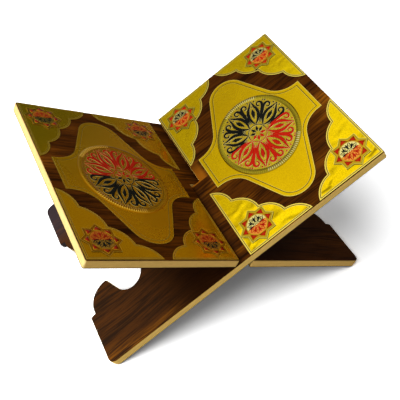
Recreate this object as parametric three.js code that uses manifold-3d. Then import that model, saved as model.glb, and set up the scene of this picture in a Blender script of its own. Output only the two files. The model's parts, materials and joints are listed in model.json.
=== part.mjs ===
// Folding stand for a large book: two identical flat boards that cross in an X.
// Each board is slotted to mid width and passes through the other's slot, so the
// slot edges are both the pivot and the stop. The upper halves are the reading
// panels with stamped gold foils, the lower halves are the legs with a cusped arch.
// Board frame: X from the crossing line to the panel's outer edge, Y across the
// board with the slot open at +Y, Z up from the middle of the thickness.

import * as THREE from 'three';
import { mergeVertices } from 'three/addons/utils/BufferGeometryUtils.js';
import Module from 'manifold-3d';

const wasm = await Module();
wasm.setup();

// Driving dimensions, in millimetres and degrees
const openAngle = 122;            // between the reading panels, as the stand rests
const boardWidth = 210;
const panelLength = 154;          // crossing line to the panel's outer edge
const coreThickness = 7.5;        // fibreboard
const filmThickness = 0.3;        // printed wood-grain film on each face
const foilThickness = 0.3;
const starThickness = 0.3;
const layerGap = 0.25;            // glue line between two stacked layers
const slotClearance = 0.3;        // on each side of the other board's neck
const slotEndGap = 0.3;           // between the closed ends of the two slots
const edgeEase = 0.4;             // broken arris all round the fibreboard
const filmMargin = 0.3;           // film stops this far inside the board's edge
const panelCornerRadius = 1.5;
const footCornerRadius = 7;
const mouthRadius = 1.2;          // corners of the slot and of the toes
const footFlatWidth = 2.4;        // flat worn along the arris each foot stands on
const filmLift = 0.3;             // film stops this far above the floor plane

// Cusped arch between the feet, measured from the foot end and from mid width
const toeHalfGap = 50;
const toeStep = 5.6;              // short straight return behind the toe
const toeStepDrop = 1;
const lobeRadius = 22;
const lobeSetback = 27.5;         // foot end to the middle of the lobe
const lobeTipHalfGap = 24.8;      // narrowest half width, at the tips of the lobes
const lobeTipRadius = 2.6;
const sideFoilRadius = 15.1;
const sideFoilSetback = 50.5;
const sideFoilOffset = 35.5;
const crownFoilRadius = 28;
const crownFoilSetback = 59;

// Gold foils on the reading face
const foilEdgeMargin = 0.9;       // along the panel's three free edges
const foilSlotMargin = 1.2;       // along the slot's edge
const cuspSharesX = [0.055, 0.325, 0.565, 0.8];          // of the foils' half length
const cuspSharesY = [1, 0.837, 0.647, 0.418, 0.207];     // of the foils' half width
const lobeRise = 0.15;            // of each lobe of a corner foil, over its chord
const cartoucheSideGap = 10;      // from the foils' ends to the short straight sides
const cartoucheTopGap = 18;       // from the foils' edges to the tops of the big lobes
const cartoucheSideShare = 0.3;   // these four are shares of the foils' half length
const cartoucheTopShare = 0.29;
const shoulderShare = 0.35;       // hollow between a short side and a big lobe
const shoulderInsetShare = 0.055; // short side to the middle of the hollow

// Oval embossed medallion and the eight-pointed stars
const medallionLengthShare = 0.584;
const medallionWidthShare = 0.461;
const medallionEdge = 0.3;        // thickness at the outline
const rimHeight = 0.9;
const rimWidth = 5;
const fieldHeight = 0.5;          // picture field inside the rim
const rimFlutes = 72;
const fluteDepth = 0.3;
const starTips = 8;
const starRadius = 18.5;
const starEndGap = 20;            // foils' end to the middle of the star
const starEdgeGap = 21;           // foils' edge to the middle of the star
const arcStep = 9;                // degrees between the points of a round stretch

// Values that follow from the sizes above
const radians = THREE.MathUtils.degToRad;
const tilt = radians((180 - openAngle) / 2);
const crossing = radians(180 - openAngle);
const halfWidth = boardWidth / 2;
const halfCore = coreThickness / 2;
const halfStack = halfCore + layerGap + filmThickness;
const legLength = panelLength - 2 * halfStack * Math.tan(tilt); // feet plumb below the panel edges
const slotHalf = halfStack * (1 + Math.cos(crossing)) / Math.sin(crossing) + slotClearance;
const slotEnd = -slotEndGap / 2;
const footReach = legLength * Math.sin(tilt) + halfCore * Math.cos(tilt);
const axisHeight = footReach - footFlatWidth * Math.sin(tilt) * Math.cos(tilt);
const foilStart = slotHalf + foilSlotMargin;
const foilEnd = panelLength - foilEdgeMargin;
const foilMiddle = (foilStart + foilEnd) / 2;
const foilHalfLength = (foilEnd - foilStart) / 2;
const foilHalfWidth = halfWidth - foilEdgeMargin;
const foilBottom = halfStack + layerGap;
const foilTop = foilBottom + foilThickness;
const medallionHalfLength = medallionLengthShare * foilHalfLength;
const medallionHalfWidth = medallionWidthShare * foilHalfWidth;

const finishes = {
  core: { color: 0xbe9a62, roughness: 0.75, metalness: 0 },
  film: { color: 0x55290c, roughness: 0.45, metalness: 0 },
  backFilm: { color: 0x33231c, roughness: 0.6, metalness: 0 },
  foil: { color: 0xd9b411, roughness: 0.28, metalness: 0.9 },
  medallion: { color: 0xc2a32c, roughness: 0.2, metalness: 0.9 },
  star: { color: 0xb4321a, roughness: 0.35, metalness: 0.5 },
};

// Points of a round stretch, from one angle to another
function arc(cx, cy, radius, fromDeg, toDeg) {
  const steps = Math.max(2, Math.ceil(Math.abs(toDeg - fromDeg) / arcStep));
  return Array.from({ length: steps + 1 }, (_, i) => {
    const angle = radians(fromDeg + (toDeg - fromDeg) * i / steps);
    return new THREE.Vector2(cx + radius * Math.cos(angle), cy + radius * Math.sin(angle));
  });
}

// Round stretch from one point to another that rises by sag to the left of the chord
function lobe(from, to, sag) {
  const chord = to.clone().sub(from);
  const half = chord.length() / 2;
  const radius = (half * half + sag * sag) / (2 * sag);
  const normal = new THREE.Vector2(-chord.y, chord.x).normalize();
  const centre = from.clone().add(to).multiplyScalar(0.5).addScaledVector(normal, sag - radius);
  const start = from.clone().sub(centre).angle();
  const sweep = 2 * Math.asin(half / radius);
  const deg = THREE.MathUtils.radToDeg;
  return arc(centre.x, centre.y, radius, deg(start), deg(start - sweep));
}

function point(x, y) {
  return new THREE.Vector2(x, y);
}

// Outline mirrored in the X axis and walked the other way
function mirrored(points) {
  return points.map((p) => point(p.x, -p.y)).reverse();
}

// Drops points that repeat their neighbour
function cleaned(points) {
  return points.filter((p, i) => p.distanceTo(points[(i + 1) % points.length]) > 1e-4);
}

// The outline drawn in by the same distance everywhere, for an anticlockwise outline
function inset(points, distance) {
  const count = points.length;
  return points.map((p, i) => {
    const before = p.clone().sub(points[(i + count - 1) % count]).normalize();
    const after = points[(i + 1) % count].clone().sub(p).normalize();
    const mitre = point(-before.y - after.y, before.x + after.x);
    const scale = 2 * distance / mitre.lengthSq();
    return p.clone().addScaledVector(mitre, scale);
  });
}

// Flat plate between two heights, with its arrises broken where ease is given
function plate(points, bottom, top, ease = 0) {
  const shape = new THREE.Shape(points);
  const geometry = new THREE.ExtrudeGeometry(shape, {
    depth: top - bottom - 2 * ease,
    bevelEnabled: ease > 0,
    bevelThickness: ease,
    bevelSize: ease,
    bevelOffset: -ease,
    bevelSegments: 1,
  });
  return geometry.translate(0, 0, bottom + ease);
}

function toSolid(geometry) {
  const bare = geometry.clone();
  bare.deleteAttribute('normal');
  bare.deleteAttribute('uv');
  const merged = mergeVertices(bare, 1e-5);
  return new wasm.Manifold(new wasm.Mesh({
    numProp: 3,
    vertProperties: Float32Array.from(merged.attributes.position.array),
    triVerts: Uint32Array.from(merged.index.array),
  }));
}

function toGeometry(solid) {
  const mesh = solid.getMesh();
  const geometry = new THREE.BufferGeometry();
  geometry.setAttribute('position', new THREE.BufferAttribute(mesh.vertProperties, 3));
  geometry.setIndex(new THREE.BufferAttribute(mesh.triVerts, 1));
  geometry.computeVertexNormals();
  return geometry;
}

// Where a line from a point outside a circle touches it, as an angle in degrees
function tangentAngle(from, centre, radius, side) {
  const reach = from.clone().sub(centre);
  const spread = Math.acos(radius / reach.length());
  return THREE.MathUtils.radToDeg(reach.angle() + side * spread);
}

// One half of the arch, from the toe to the crown at mid width, for positive Y
function archHalf() {
  const footEnd = -legLength;
  const lobeCentre = point(footEnd + lobeSetback, lobeTipHalfGap + lobeRadius);
  const foilCentre = point(footEnd + sideFoilSetback, sideFoilOffset);
  const crownCentre = point(footEnd + crownFoilSetback, 0);
  const stepY = toeHalfGap - toeStepDrop;
  const lobeStart = 180 - THREE.MathUtils.radToDeg(Math.asin((stepY - lobeCentre.y) / lobeRadius));
  const tipCentre = point(lobeCentre.x, lobeTipHalfGap + lobeTipRadius);
  const leaveTip = tipCentre.clone().add(point(lobeTipRadius, 0));
  const meetFoil = tangentAngle(leaveTip, foilCentre, sideFoilRadius, -1);
  const between = crownCentre.clone().sub(foilCentre);
  const span = between.length();
  const along = (span * span + sideFoilRadius ** 2 - crownFoilRadius ** 2) / (2 * span);
  const cuspTurn = Math.acos(along / sideFoilRadius);
  const cuspOnFoil = THREE.MathUtils.radToDeg(between.angle() + cuspTurn) - 360;
  const cusp = foilCentre.clone().add(
    point(Math.cos(radians(cuspOnFoil)), Math.sin(radians(cuspOnFoil))).multiplyScalar(sideFoilRadius));
  const cuspOnCrown = THREE.MathUtils.radToDeg(cusp.clone().sub(crownCentre).angle());
  return [
    point(footEnd, toeHalfGap),
    point(footEnd + toeStep, stepY),
    ...arc(lobeCentre.x, lobeCentre.y, lobeRadius, lobeStart, 270),
    ...arc(tipCentre.x, tipCentre.y, lobeTipRadius, 270, 360),
    ...arc(foilCentre.x, foilCentre.y, sideFoilRadius, meetFoil, cuspOnFoil),
    ...arc(crownCentre.x, crownCentre.y, crownFoilRadius, cuspOnCrown, 0),
  ];
}

// Outline of one board, anticlockwise from the panel's front corner
function boardOutline() {
  const panel = panelLength - panelCornerRadius;
  const side = halfWidth - panelCornerRadius;
  const foot = -legLength + footCornerRadius;
  const footSide = halfWidth - footCornerRadius;
  const arch = archHalf();
  return cleaned([
    ...arc(panel, -side, panelCornerRadius, -90, 0),
    ...arc(panel, side, panelCornerRadius, 0, 90),
    ...arc(slotHalf + mouthRadius, halfWidth - mouthRadius, mouthRadius, 90, 180),
    ...arc(slotHalf - mouthRadius, slotEnd + mouthRadius, mouthRadius, 0, -90),
    ...arc(mouthRadius - slotHalf, slotEnd + mouthRadius, mouthRadius, -90, -180),
    ...arc(-slotHalf - mouthRadius, halfWidth - mouthRadius, mouthRadius, 0, 90),
    ...arc(foot, footSide, footCornerRadius, 90, 180),
    ...arch,
    ...mirrored(arch),
    ...arc(foot, -footSide, footCornerRadius, 180, 270),
  ]);
}

// Everything below the floor, in the board frame, lifted by the given height
function floorBlock(lift) {
  const size = 2 * (panelLength + legLength);
  const block = new THREE.BoxGeometry(size, size, size).translate(0, 0, -size / 2);
  block.translate(0, 0, lift - axisHeight);
  return toSolid(block.rotateY(tilt));
}

function boardCore(outline) {
  const blank = toSolid(plate(outline, -halfCore, halfCore, edgeEase));
  return toGeometry(blank.subtract(floorBlock(0)));
}

function faceFilm(outline) {
  return plate(inset(outline, filmMargin), halfCore + layerGap, halfStack);
}

function backFilm(outline) {
  const sheet = plate(inset(outline, filmMargin), -halfStack, -halfCore - layerGap);
  return toGeometry(toSolid(sheet).subtract(floorBlock(filmLift)));
}

// Corner foil for the quarter with positive X and Y from the middle of the foils
function cornerFoilOutline() {
  const cusps = cuspSharesY.map((shareY, i) => {
    const shareX = cuspSharesX[i] ?? 1;
    return point(shareX * foilHalfLength, shareY * foilHalfWidth);
  }).reverse();
  const lobes = cusps.slice(1).flatMap((cusp, i) => {
    return lobe(cusps[i], cusp, lobeRise * cusps[i].distanceTo(cusp));
  });
  const corner = point(foilHalfLength, foilHalfWidth);
  return cleaned([...lobes, corner]).reverse();
}

// Quarter of the centre foil: short side, hollow shoulder, straight flank, big lobe
function cartoucheQuarter() {
  const halfLength = foilHalfLength - cartoucheSideGap;
  const sideHalf = cartoucheSideShare * foilHalfLength;
  const topRadius = cartoucheTopShare * foilHalfLength;
  const shoulder = shoulderShare * foilHalfLength;
  const hollow = point(halfLength - shoulderInsetShare * foilHalfLength, sideHalf + shoulder);
  const top = point(0, foilHalfWidth - cartoucheTopGap - topRadius);
  const between = top.clone().sub(hollow);
  const lean = Math.acos((shoulder + topRadius) / between.length());
  const touch = THREE.MathUtils.radToDeg(between.angle() + lean);
  return [
    point(halfLength, sideHalf),
    ...arc(hollow.x, hollow.y, shoulder, 270, touch),
    ...arc(top.x, top.y, topRadius, touch - 180, 90),
  ];
}

function cartoucheOutline() {
  const quarter = cartoucheQuarter();
  const across = quarter.map((p) => point(-p.x, p.y)).reverse();
  const upper = [...quarter, ...across];
  return cleaned([...upper, ...upper.map((p) => point(-p.x, -p.y))]);
}

// Oval medallion: raised rim with a flat crest and a fluted outer slope, picture field inside
function medallion() {
  const outer = medallionHalfWidth;
  const third = rimWidth / 3;
  const profile = [
    point(0, 0),
    point(outer, 0),
    point(outer, medallionEdge),
    point(outer - third, rimHeight),
    point(outer - 2 * third, rimHeight),
    point(outer - rimWidth, fieldHeight),
    point(0, fieldHeight),
  ];
  const round = new THREE.LatheGeometry(profile, 2 * rimFlutes).rotateX(Math.PI / 2);
  const places = round.attributes.position;
  const bed = foilTop + layerGap;
  for (let i = 0; i < places.count; i += 1) {
    const x = places.getX(i);
    const y = places.getY(i);
    const reach = Math.hypot(x, y);
    const atEdge = reach > outer - third / 2;
    const valley = atEdge && Math.cos(rimFlutes * Math.atan2(y, x)) < 0;
    const draw = valley ? (reach - fluteDepth) / reach : 1;
    const height = bed + Math.abs(places.getZ(i));
    places.setXYZ(i, x * draw * medallionHalfLength / medallionHalfWidth, y * draw, height);
  }
  return round;
}

// Eight-pointed star made of two crossed squares
function starOutline() {
  const inner = starRadius * Math.cos(2 * Math.PI / starTips) / Math.cos(Math.PI / starTips);
  return Array.from({ length: 2 * starTips }, (_, i) => {
    const angle = Math.PI * i / starTips;
    const reach = i % 2 === 0 ? starRadius : inner;
    return point(reach * Math.cos(angle), reach * Math.sin(angle));
  });
}

function piece(name, geometry, finish) {
  const mesh = new THREE.Mesh(geometry, new THREE.MeshStandardMaterial(finish));
  mesh.name = name;
  return mesh;
}

// The outline turned into the quarter with the given signs, still anticlockwise
function inQuarter(points, signX, signY) {
  const turned = points.map((p) => point(foilMiddle + signX * p.x, signY * p.y));
  return signX * signY > 0 ? turned : turned.reverse();
}

// One board with all that is stuck to it; facing is 1 where +Y of the board is the back
function makeBoard(side, facing) {
  const board = new THREE.Group();
  const outline = boardOutline();
  board.add(piece(`${side}_board`, boardCore(outline), finishes.core));
  board.add(piece(`${side}_face_film`, faceFilm(outline), finishes.film));
  board.add(piece(`${side}_back_film`, backFilm(outline), finishes.backFilm));
  const cartouche = plate(cartoucheOutline(), foilBottom, foilTop).translate(foilMiddle, 0, 0);
  board.add(piece(`${side}_centre_foil`, cartouche, finishes.foil));
  board.add(piece(`${side}_medallion`, medallion().translate(foilMiddle, 0, 0), finishes.medallion));
  const starBottom = foilTop + layerGap;
  for (const signX of [-1, 1]) {
    for (const signY of [-1, 1]) {
      const place = `${signX < 0 ? 'inner' : 'outer'}_${signY * facing < 0 ? 'front' : 'back'}`;
      const corner = inQuarter(cornerFoilOutline(), signX, signY);
      board.add(piece(`${side}_${place}_foil`, plate(corner, foilBottom, foilTop), finishes.foil));
      const star = plate(starOutline(), starBottom, starBottom + starThickness);
      const along = foilMiddle + signX * (foilHalfLength - starEndGap);
      star.translate(along, signY * (foilHalfWidth - starEdgeGap), 0);
      board.add(piece(`${side}_${place}_star`, star, finishes.star));
    }
  }
  return board;
}

const stand = new THREE.Group();
const rightBoard = makeBoard('right', 1);
rightBoard.rotation.y = -tilt;
const leftBoard = makeBoard('left', -1);
leftBoard.rotation.y = -tilt;
const leftTurn = new THREE.Group();
leftTurn.add(leftBoard);
leftTurn.rotation.z = Math.PI;
stand.add(rightBoard, leftTurn);
for (const half of stand.children) half.position.z = axisHeight;

export default stand;
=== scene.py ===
import bpy
import bmesh
import json
import math
from mathutils import Matrix, Vector


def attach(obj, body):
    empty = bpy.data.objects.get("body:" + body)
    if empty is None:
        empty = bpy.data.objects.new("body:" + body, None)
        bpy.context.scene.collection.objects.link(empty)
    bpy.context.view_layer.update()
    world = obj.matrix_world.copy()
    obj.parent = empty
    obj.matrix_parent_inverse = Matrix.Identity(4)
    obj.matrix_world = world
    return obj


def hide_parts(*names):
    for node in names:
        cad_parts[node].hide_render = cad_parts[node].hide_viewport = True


# A folding book stand of two slotted boards, in metres and degrees. A board has its own
# place: along from the crossing line to the panel's outer edge, across the board, and up
# from mid thickness. Everything printed or stamped on a board is laid out in that place.
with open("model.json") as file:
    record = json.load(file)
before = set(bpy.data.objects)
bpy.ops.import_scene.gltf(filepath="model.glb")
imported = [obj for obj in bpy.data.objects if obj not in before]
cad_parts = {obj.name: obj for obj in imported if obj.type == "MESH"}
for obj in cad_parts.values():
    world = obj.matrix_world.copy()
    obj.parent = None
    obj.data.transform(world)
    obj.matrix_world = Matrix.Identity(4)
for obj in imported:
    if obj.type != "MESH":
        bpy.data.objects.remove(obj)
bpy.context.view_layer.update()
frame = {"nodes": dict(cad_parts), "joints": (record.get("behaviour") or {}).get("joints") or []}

MM = 0.001
OPEN_ANGLE = 122
TILT = math.radians((180 - OPEN_ANGLE) / 2)
AXIS_HEIGHT = frame["joints"][0]["pos_m"][2]

# What counts as one point, one level, a straight corner in radians and no edge at all
SAME_POINT = 1e-6
SAME_LEVEL = 1e-5
STRAIGHT = 1e-3
NO_EDGE = 1e-7

# Heights over mid thickness
CORE_TOP = 3.75 * MM
FILM_MIDDLE = 4.15 * MM
FILM_TOP = 4.3 * MM
FOIL_FIELD = 4.72 * MM
FOIL_TOP = 4.85 * MM
STAR_FIELD = 5.22 * MM
STAR_TOP = 5.35 * MM
MEDALLION_FIELD = 5.5 * MM
RIM_SEAT = FOIL_FIELD - 0.05 * MM
DISC_BASE = STAR_FIELD - 0.1 * MM
DISC_TOP = STAR_FIELD + 0.05 * MM

PANEL_UP = Matrix.Translation((0, 0, AXIS_HEIGHT)) @ Matrix.Rotation(-TILT, 4, "Y")
BOARDS = {"right": PANEL_UP, "left": Matrix.Rotation(math.pi, 4, "Z") @ PANEL_UP}
QUARTERS = [(end, side) for end in (-1, 1) for side in (-1, 1)]


def quarter_name(board, end, side):
    """The CAD's word for a quarter of a panel: end 1 is the outer end, side 1 the slotted edge."""
    at_back = side > 0 if board == "right" else side < 0
    return f"{board}_{'outer' if end > 0 else 'inner'}_{'back' if at_back else 'front'}"


def in_board_place(node):
    """A copy of a CAD piece as a bmesh, moved into its board's place."""
    mesh = bmesh.new()
    mesh.from_mesh(frame["nodes"][node].data)
    bmesh.ops.remove_doubles(mesh, verts=mesh.verts, dist=SAME_POINT)
    mesh.transform(BOARDS[node.split("_")[0]].inverted())
    return mesh


def extent_of(node):
    """Middle and half size of a CAD piece, along and across its board."""
    mesh = in_board_place(node)
    low, high = (Vector([f(v.co[i] for v in mesh.verts) for i in (0, 1)]) for f in (min, max))
    mesh.free()
    return (low + high) / 2, (high - low) / 2


PANEL_END = sum(part.x for part in extent_of("right_board"))

# Where a board's print, fibre or foil changes, or where painted light and shade lie on it, from the
# start of the change to its end: along the board
NECK_END = (0.014, 0.02)
LEG_TOP = (-0.02, 0.01)
STREAK_FADE = (-0.08, -0.04)
TOWARDS_NECK = (-0.095, -0.04)
SHADED_FIBRE_FOOT = (-0.138, -0.12)
# and across it
FOIL_LOOSE = (-0.09, -0.045)
LEG_EDGE = (-0.104, -0.089)
SHADED_NECK = (-0.03, -0.0022)
PAINTED_LIGHT_START = (-0.0022, -0.0014)
PAINTED_LIGHT_FADE = (0.002, 0.03)
SHADED_FIBRE_BACK = (0.02, 0.05)
SHADED_FOOT_BACK = (0.04, 0.08)
# The colours of the painted sheen and painted shade on the print and the fibre
PAINTED_SHEEN = (0.065, 0.05, 0.03, 1)
SHADED_FOOT_GREY = (0.032, 0.025, 0.03, 1)
SHADED_FIBRE_COLOUR = (0.03, 0.02, 0.02, 1)


# Node trees: short words for wiring them


class Nodes:
    """Adds, feeds and links the nodes of one tree."""

    def __init__(self, tree):
        self.tree = tree

    def add(self, kind, **settings):
        node = self.tree.nodes.new(kind)
        for key, value in settings.items():
            setattr(node, key, value)
        return node

    def put(self, socket, value):
        if hasattr(value, "is_linked"):
            self.tree.links.new(value, socket)
        else:
            socket.default_value = value

    def feed(self, node, **values):
        """Sets or links inputs by name, with _ for a space, and returns the first output."""
        for key, value in values.items():
            self.put(node.inputs[key.replace("_", " ")], value)
        return node.outputs[0] if node.outputs else None

    def maths(self, operation, *values, clamp=False):
        node = self.add("ShaderNodeMath", operation=operation, use_clamp=clamp)
        for socket, value in zip(node.inputs, values):
            self.put(socket, value)
        return node.outputs[0]

    def vector(self, operation, *values):
        node = self.add("ShaderNodeVectorMath", operation=operation)
        for socket, value in zip(node.inputs, values):
            self.put(socket, value)
        return node.outputs["Value" if operation in ("LENGTH", "DOT_PRODUCT") else "Vector"]

    def split(self, vector):
        """The parts of a vector, by the names X, Y and Z."""
        node = self.add("ShaderNodeSeparateXYZ")
        self.feed(node, Vector=vector)
        return node.outputs

    def noise(self, place, scale, detail=2.0, roughness=0.5, distortion=0.0):
        """Noise with about scale cells to the metre."""
        node = self.add("ShaderNodeTexNoise")
        return self.feed(node, Vector=place, Scale=scale, Detail=detail, Roughness=roughness,
                         Distortion=distortion)

    def band(self, value, low, high, to_low=0.0, to_high=1.0):
        """A soft step from to_low, where the value is low, to to_high, where it is high."""
        node = self.add("ShaderNodeMapRange", clamp=True, interpolation_type="SMOOTHSTEP")
        return self.feed(node, Value=value, From_Min=low, From_Max=high, To_Min=to_low,
                         To_Max=to_high)

    def blend(self, amount, a, b):
        """Colour a where the amount is 0, colour b where it is 1."""
        node = self.add("ShaderNodeMix", data_type="RGBA")
        for name, value in (("Factor_Float", amount), ("A_Color", a), ("B_Color", b)):
            self.put(next(s for s in node.inputs if s.identifier == name), value)
        return next(s for s in node.outputs if s.identifier == "Result_Color")


def new_group(kind, name, inputs, outputs):
    """An empty node group with named sockets: its wiring, what it is given, what it gives."""
    tree = bpy.data.node_groups.new(name, kind)
    for label, socket_type, value in inputs:
        socket = tree.interface.new_socket(label, in_out="INPUT", socket_type=socket_type)
        if value is not None:
            socket.default_value = value
    for label, socket_type in outputs:
        tree.interface.new_socket(label, in_out="OUTPUT", socket_type=socket_type)
    nodes = Nodes(tree)
    return nodes, nodes.add("NodeGroupInput").outputs, nodes.add("NodeGroupOutput").inputs


def nested(n, tree, **values):
    """A group used inside another tree: its outputs."""
    node = n.add(tree.bl_idname.replace("Tree", "Group"))
    node.node_tree = tree
    n.feed(node, **values)
    return node.outputs


FLOAT, INTEGER, COLOUR = "NodeSocketFloat", "NodeSocketInt", "NodeSocketColor"
VECTOR, SHAPE, FINISH = "NodeSocketVector", "NodeSocketGeometry", "NodeSocketMaterial"


# Shader groups


def board_place_group():
    """Turns Object coordinates into the board's own place: along, across, up."""
    n, given, out = new_group("ShaderNodeTree", "Board place", [("Side", FLOAT, 1.0)],
                              [("Place", VECTOR)])
    here = n.add("ShaderNodeTexCoord").outputs["Object"]
    centred = n.vector("SUBTRACT", here, (0, 0, AXIS_HEIGHT))
    facing = n.feed(n.add("ShaderNodeCombineXYZ"), X=given["Side"], Y=given["Side"], Z=1.0)
    turned = n.vector("MULTIPLY", centred, facing)
    level = n.add("ShaderNodeVectorRotate", rotation_type="Y_AXIS")
    n.put(out["Place"], n.feed(level, Vector=turned, Angle=TILT))
    return n.tree


def grain_print(n, given, place, warm_share):
    """Growth bands, streaks, warm flames and pores: the colour, and the relief's two parts."""
    wander = n.noise(n.vector("MULTIPLY", place, (0.35, 1, 1)), 16.0)
    drift = n.vector("MULTIPLY", n.feed(n.add("ShaderNodeCombineXYZ"), Y=wander), (0, 0.02, 0))
    bent = n.vector("ADD", n.vector("MULTIPLY", place, (0.08, 1, 1)), drift)
    bands = n.noise(bent, 110.0, 3.0, 0.6)
    streaks = n.noise(n.vector("MULTIPLY", bent, (0.5, 1, 1)), 620.0, 3.0, 0.7)
    hairs = n.noise(n.vector("MULTIPLY", place, (0.06, 1, 1)), 1500.0, 2.0, 0.6)
    warm = n.noise(n.vector("MULTIPLY", place, (0.22, 1, 1)), 36.0)
    tone = n.maths("ADD", n.maths("MULTIPLY", bands, 0.4), n.maths("MULTIPLY", streaks, 0.6))
    brown = n.blend(n.band(tone, 0.39, 0.58), given["Dark"], given["Brown"])
    above = n.maths("SUBTRACT", warm, n.maths("SUBTRACT", 0.72, warm_share))
    flame = n.maths("MULTIPLY", n.band(above, -0.08, 0.14), n.band(tone, 0.4, 0.64))
    warmed = n.blend(flame, brown, given["Warm"])
    pores = n.band(hairs, 0.58, 0.7, 0.0, 0.6)
    return n.blend(pores, warmed, given["Dark"]), streaks, pores


def leg_tones(n, given, parts, leg, painted_light_and_streak, printed):
    """Painted sheen on the leg, painted shade with a painted reflection's grey at the back of its
    foot, and painted shade towards the crossing.
    """
    sheened = n.blend(n.maths("MULTIPLY", painted_light_and_streak, 0.12), printed, PAINTED_SHEEN)
    at_back = n.maths("MULTIPLY", n.band(parts["Y"], *SHADED_FOOT_BACK, 0.0, 0.85), painted_light_and_streak)
    foot_shaded = n.blend(at_back, sheened, SHADED_FOOT_GREY)
    dark = n.maths("MULTIPLY", leg, n.band(parts["X"], *TOWARDS_NECK, given["Foot shade"], 0.9))
    return n.blend(dark, foot_shaded, given["Dark"])


def neck_tones(n, given, parts, shaded):
    """By the crossing, painted light on the slotted half of the board and painted shade on the
    other half.
    """
    near = n.maths("MULTIPLY", n.band(parts["X"], *NECK_END, 1.0, 0.0), given["Neck glow"])
    lit = n.maths("MULTIPLY", n.band(parts["Y"], *PAINTED_LIGHT_START),
                  n.band(parts["Y"], *PAINTED_LIGHT_FADE, 0.9, 0.0))
    painted_lit = n.blend(n.maths("MULTIPLY", near, lit), shaded, given["Warm"])
    dim = n.maths("MULTIPLY", near, n.band(parts["Y"], *SHADED_NECK, 0.0, 0.5))
    unlit = n.maths("MULTIPLY", dim, n.band(parts["Y"], *PAINTED_LIGHT_START, 1.0, 0.0))
    return n.blend(unlit, painted_lit, given["Dark"])


def wood_grain_group(place_tree):
    """Printed grain along the board, with a printed streak and painted sheen and shade on the leg,
    and painted light and shade by the crossing.
    """
    n, given, out = new_group(
        "ShaderNodeTree", "Printed wood grain",
        [("Side", FLOAT, 1.0), ("Dark", COLOUR, (0.012, 0.004, 0.001, 1)),
         ("Brown", COLOUR, (0.08, 0.024, 0.004, 1)), ("Warm", COLOUR, (0.25, 0.08, 0.01, 1)),
         ("Warm share", FLOAT, 0.3), ("Leg shade", FLOAT, 0.0), ("Neck glow", FLOAT, 0.0),
         ("Foot shade", FLOAT, 0.0), ("Leg haze", FLOAT, 0.0)],
        [("Color", COLOUR), ("Roughness", FLOAT), ("Height", FLOAT)])
    place = nested(n, place_tree, Side=given["Side"])["Place"]
    parts = n.split(place)
    leg = n.maths("MULTIPLY", n.band(parts["X"], *LEG_TOP, 1.0, 0.0), given["Leg shade"])
    # Where the leg takes painted sheen, a painted grey shade at its foot's back and a printed
    # streak by its edge
    painted_light_and_streak = n.maths("MULTIPLY", leg, given["Leg haze"])
    at_edge = n.maths("MULTIPLY", n.band(parts["Y"], *LEG_EDGE, 0.2, 0.0), painted_light_and_streak)
    edge_streak = n.maths("MULTIPLY", n.band(parts["X"], *STREAK_FADE, 1.0, 0.2), at_edge)
    warm_share = n.maths("ADD", n.maths("MULTIPLY", given["Warm share"], 0.5), edge_streak)
    printed, streaks, pores = grain_print(n, given, place, warm_share)
    shaded = leg_tones(n, given, parts, leg, painted_light_and_streak, printed)
    n.put(out["Color"], neck_tones(n, given, parts, shaded))
    n.put(out["Roughness"], n.maths("ADD", 0.42, n.maths("MULTIPLY", streaks, 0.2)))
    n.put(out["Height"], n.maths("MULTIPLY", n.maths("SUBTRACT", streaks, pores), 0.03))
    return n.tree


def stamped_foil_group(place_tree):
    """Stamped metal foil: a sandy grain, and waves where it isn't glued quite flat."""
    n, given, out = new_group(
        "ShaderNodeTree", "Stamped foil",
        [("Side", FLOAT, 1.0), ("Foil", COLOUR, (0.8, 0.5, 0.01, 1)),
         ("Shade", COLOUR, (0.4, 0.24, 0.004, 1)), ("Grain", FLOAT, 0.3),
         ("Ripple", FLOAT, 0.3), ("Gloss", FLOAT, 0.3)],
        [("Color", COLOUR), ("Roughness", FLOAT), ("Height", FLOAT)])
    place = nested(n, place_tree, Side=given["Side"])["Place"]
    sand = n.noise(place, 1150.0, 1.0, 0.7)
    cloud = n.noise(place, 15.0, 1.0)
    wave = n.noise(n.vector("MULTIPLY", place, (1, 1.3, 1)), 75.0, 0.6, 0.4, 0.4)
    by_edge = n.band(n.split(place)["Y"], *FOIL_LOOSE, 1.0, 0.2)
    loose = n.maths("MULTIPLY", n.band(n.noise(place, 40.0, 1.0), 0.35, 0.6), by_edge)
    speckle = n.maths("MULTIPLY", n.maths("SUBTRACT", sand, 0.5), 3.0)
    grain = n.maths("MULTIPLY", speckle, given["Grain"])
    amount = n.maths("ADD", grain, n.band(cloud, 0.3, 0.7, 0.1, 0.35), clamp=True)
    n.put(out["Color"], n.blend(amount, given["Foil"], given["Shade"]))
    n.put(out["Roughness"], n.maths("ADD", given["Gloss"], n.maths("MULTIPLY", cloud, 0.1)))
    fine = n.maths("MULTIPLY", sand, n.maths("MULTIPLY", given["Grain"], 0.03))
    centred = n.maths("SUBTRACT", wave, 0.5)
    swell = n.maths("MULTIPLY", n.maths("MULTIPLY", centred, loose), given["Ripple"])
    n.put(out["Height"], n.maths("ADD", fine, n.maths("MULTIPLY", swell, 0.3)))
    return n.tree


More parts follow.
